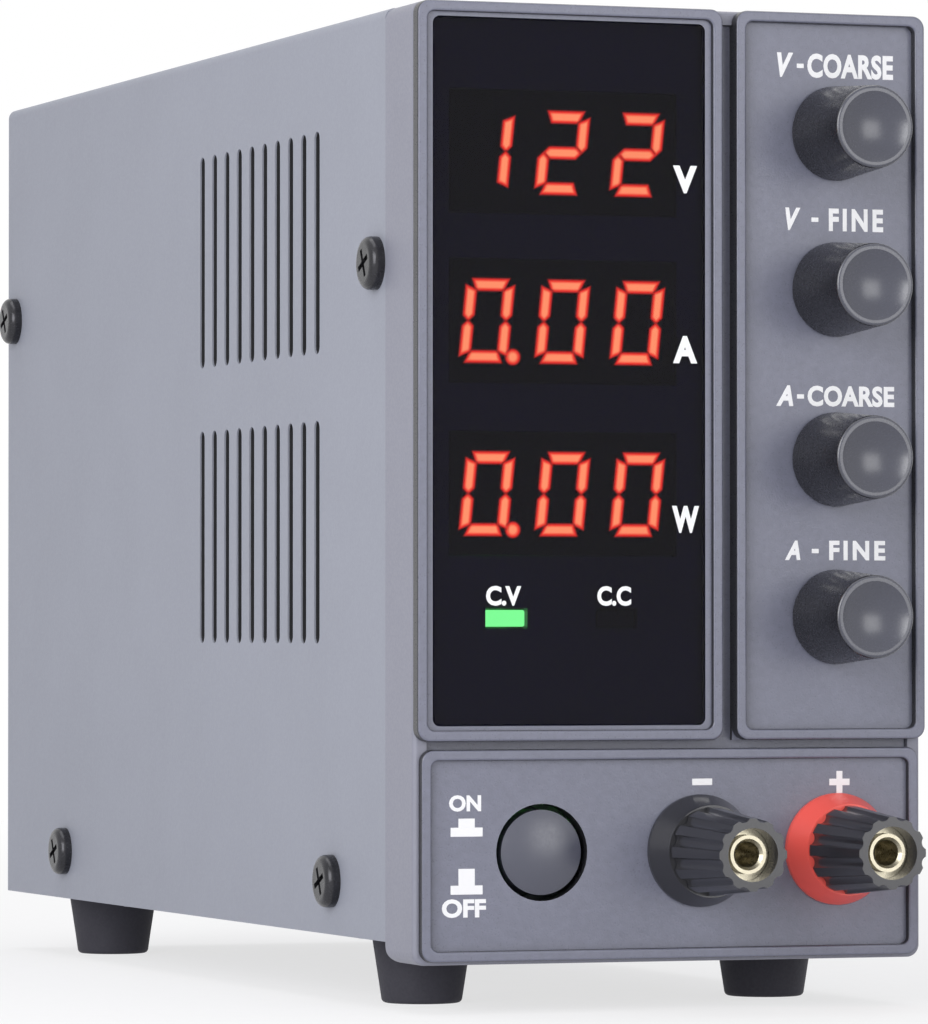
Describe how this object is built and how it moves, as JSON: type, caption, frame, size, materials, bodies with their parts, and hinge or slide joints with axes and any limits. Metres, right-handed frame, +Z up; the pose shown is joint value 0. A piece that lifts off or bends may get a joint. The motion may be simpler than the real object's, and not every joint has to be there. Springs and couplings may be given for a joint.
{
  "type": "bench power supply",
  "caption": "Adjustable DC bench power supply in a narrow upright vented case, with digit displays, tapered knobs, power button and screw-cap output posts.",
  "frame": {"origin": "middle of the footprint's bounding box, on the surface that the feet stand on", "axes": "+Z up, the front faces -Y, +X to the right of a person who faces the front"},
  "size_m": [0.0904, 0.2539, 0.1576],
  "materials": {
    "case_grey": "fine matt powder coat",
    "surround_grey": "fine matt moulding",
    "panel_grey": "fine textured moulding",
    "smoked_window": "smoked gloss",
    "display_black": "satin",
    "indicator": "diffused lens",
    "board_green": "solder mask",
    "knob_black": "gloss",
    "button_grey": "satin",
    "post_red": "gloss",
    "post_black": "gloss",
    "brass": "machined, nickel edge",
    "steel": "bright zinc",
    "black_steel": "black passivated",
    "aluminium": "plain extrusion",
    "rubber": "matt",
    "black_plastic": "fine matt",
    "ferrite": "matt ceramic",
    "winding_tape": "satin tape",
    "copper": "enamelled wire",
    "can_sleeve": "shrink sleeve",
    "component_grey": "satin",
    "mains_sheath": "flexible sheath",
    "output_sheath": "flexible sheath",
    "ribbon_grey": "flexible sheath",
    "fuse_glass": "clear"
  },
  "bodies": {
    "case": {"top_cover": "case_grey", "base_chassis": "case_grey", "rear_panel": "case_grey", "front_surround": "surround_grey", "front_panel": "panel_grey", "display_window": "smoked_window", "display_board": "board_green", "control_board": "board_green", "digit_modules": "display_black", "indicators": "indicator", "potentiometers": "component_grey", "power_switch": "black_plastic", "switch_bracket": "steel", "post_studs": "brass", "post_bushes": "black_plastic", "hexagon_nuts": "steel", "solder_tags": "brass", "feet": "rubber", "cover_screws": "black_steel", "chassis_screws": "black_steel", "board_screws": "steel", "standoffs": "steel", "main_board": "board_green", "bulk_capacitors": "can_sleeve", "output_capacitors": "can_sleeve", "transformer_core": "ferrite", "transformer_coil": "winding_tape", "heatsinks": "aluminium", "power_devices": "black_plastic", "output_choke": "copper", "board_components": "component_grey", "fan_frame": "black_plastic", "fan_guard": "steel", "rear_screws": "black_steel", "mains_inlet": "black_plastic", "inlet_pins": "brass", "selector_body": "black_plastic", "mains_leads": "mains_sheath", "low_voltage_leads": "output_sheath", "ribbon_cable": "ribbon_grey", "post_collar_negative": "post_black", "post_collar_positive": "post_red"},
    "v_coarse_knob": {"knob_v_coarse": "knob_black", "shaft_v_coarse": "aluminium"},
    "v_fine_knob": {"knob_v_fine": "knob_black", "shaft_v_fine": "aluminium"},
    "a_coarse_knob": {"knob_a_coarse": "knob_black", "shaft_a_coarse": "aluminium"},
    "a_fine_knob": {"knob_a_fine": "knob_black", "shaft_a_fine": "aluminium"},
    "power_button": {"power_button": "button_grey", "switch_plunger": "black_plastic"},
    "negative_carriage": {"post_insert_negative": "brass"},
    "negative_cap": {"post_cap_negative": "post_black"},
    "positive_carriage": {"post_insert_positive": "brass"},
    "positive_cap": {"post_cap_positive": "post_black"},
    "fan_rotor": {"fan_rotor": "black_plastic"},
    "fuse_drawer": {"fuse_drawer": "black_plastic", "fuse": "fuse_glass"},
    "selector_slider": {"selector_slider": "post_red"}
  },
  "joints": [
    {"name": "v_coarse_turn", "type": "hinge", "parent": "case", "child": "v_coarse_knob", "pos_m": [0.0279, -0.10675, 0.1386], "axis": [0, 1, 0], "range_deg": [-300, 0]},
    {"name": "v_fine_turn", "type": "hinge", "parent": "case", "child": "v_fine_knob", "pos_m": [0.0279, -0.10675, 0.1138], "axis": [0, 1, 0], "range_deg": [-150, 150]},
    {"name": "a_coarse_turn", "type": "hinge", "parent": "case", "child": "a_coarse_knob", "pos_m": [0.0279, -0.10675, 0.0868], "axis": [0, 1, 0], "range_deg": [-150, 150]},
    {"name": "a_fine_turn", "type": "hinge", "parent": "case", "child": "a_fine_knob", "pos_m": [0.0279, -0.10675, 0.0618], "axis": [0, 1, 0], "range_deg": [-150, 150]},
    {"name": "power_button_press", "type": "slide", "parent": "case", "child": "power_button", "axis": [0, -1, 0], "range_m": [0, 0.003]},
    {"name": "negative_post_travel", "type": "slide", "parent": "case", "child": "negative_carriage", "axis": [0, -1, 0], "range_m": [0, 0.004]},
    {"name": "negative_post_turn", "type": "hinge", "parent": "negative_carriage", "child": "negative_cap", "pos_m": [0.00485, -0.10675, 0.025], "axis": [0, -1, 0], "range_deg": [0, 1440]},
    {"name": "positive_post_travel", "type": "slide", "parent": "case", "child": "positive_carriage", "axis": [0, -1, 0], "range_m": [0, 0.004]},
    {"name": "positive_post_turn", "type": "hinge", "parent": "positive_carriage", "child": "positive_cap", "pos_m": [0.0283, -0.10675, 0.025], "axis": [0, -1, 0], "range_deg": [0, 1440]},
    {"name": "fan_spin", "type": "hinge", "parent": "case", "child": "fan_rotor", "pos_m": [0, 0.10825, 0.1196], "axis": [0, 1, 0], "continuous": true},
    {"name": "fuse_drawer_pull", "type": "slide", "parent": "case", "child": "fuse_drawer", "axis": [0, 1, 0], "range_m": [0, 0.018]},
    {"name": "voltage_selector_slide", "type": "slide", "parent": "case", "child": "selector_slider", "axis": [0, 0, 1], "range_m": [-0.0045, 0]}
  ],
  "couplings": [
    {"joint": "negative_post_turn", "follows": "negative_post_travel", "rad_per_m": 6283},
    {"joint": "positive_post_turn", "follows": "positive_post_travel", "rad_per_m": 6283}
  ]
}
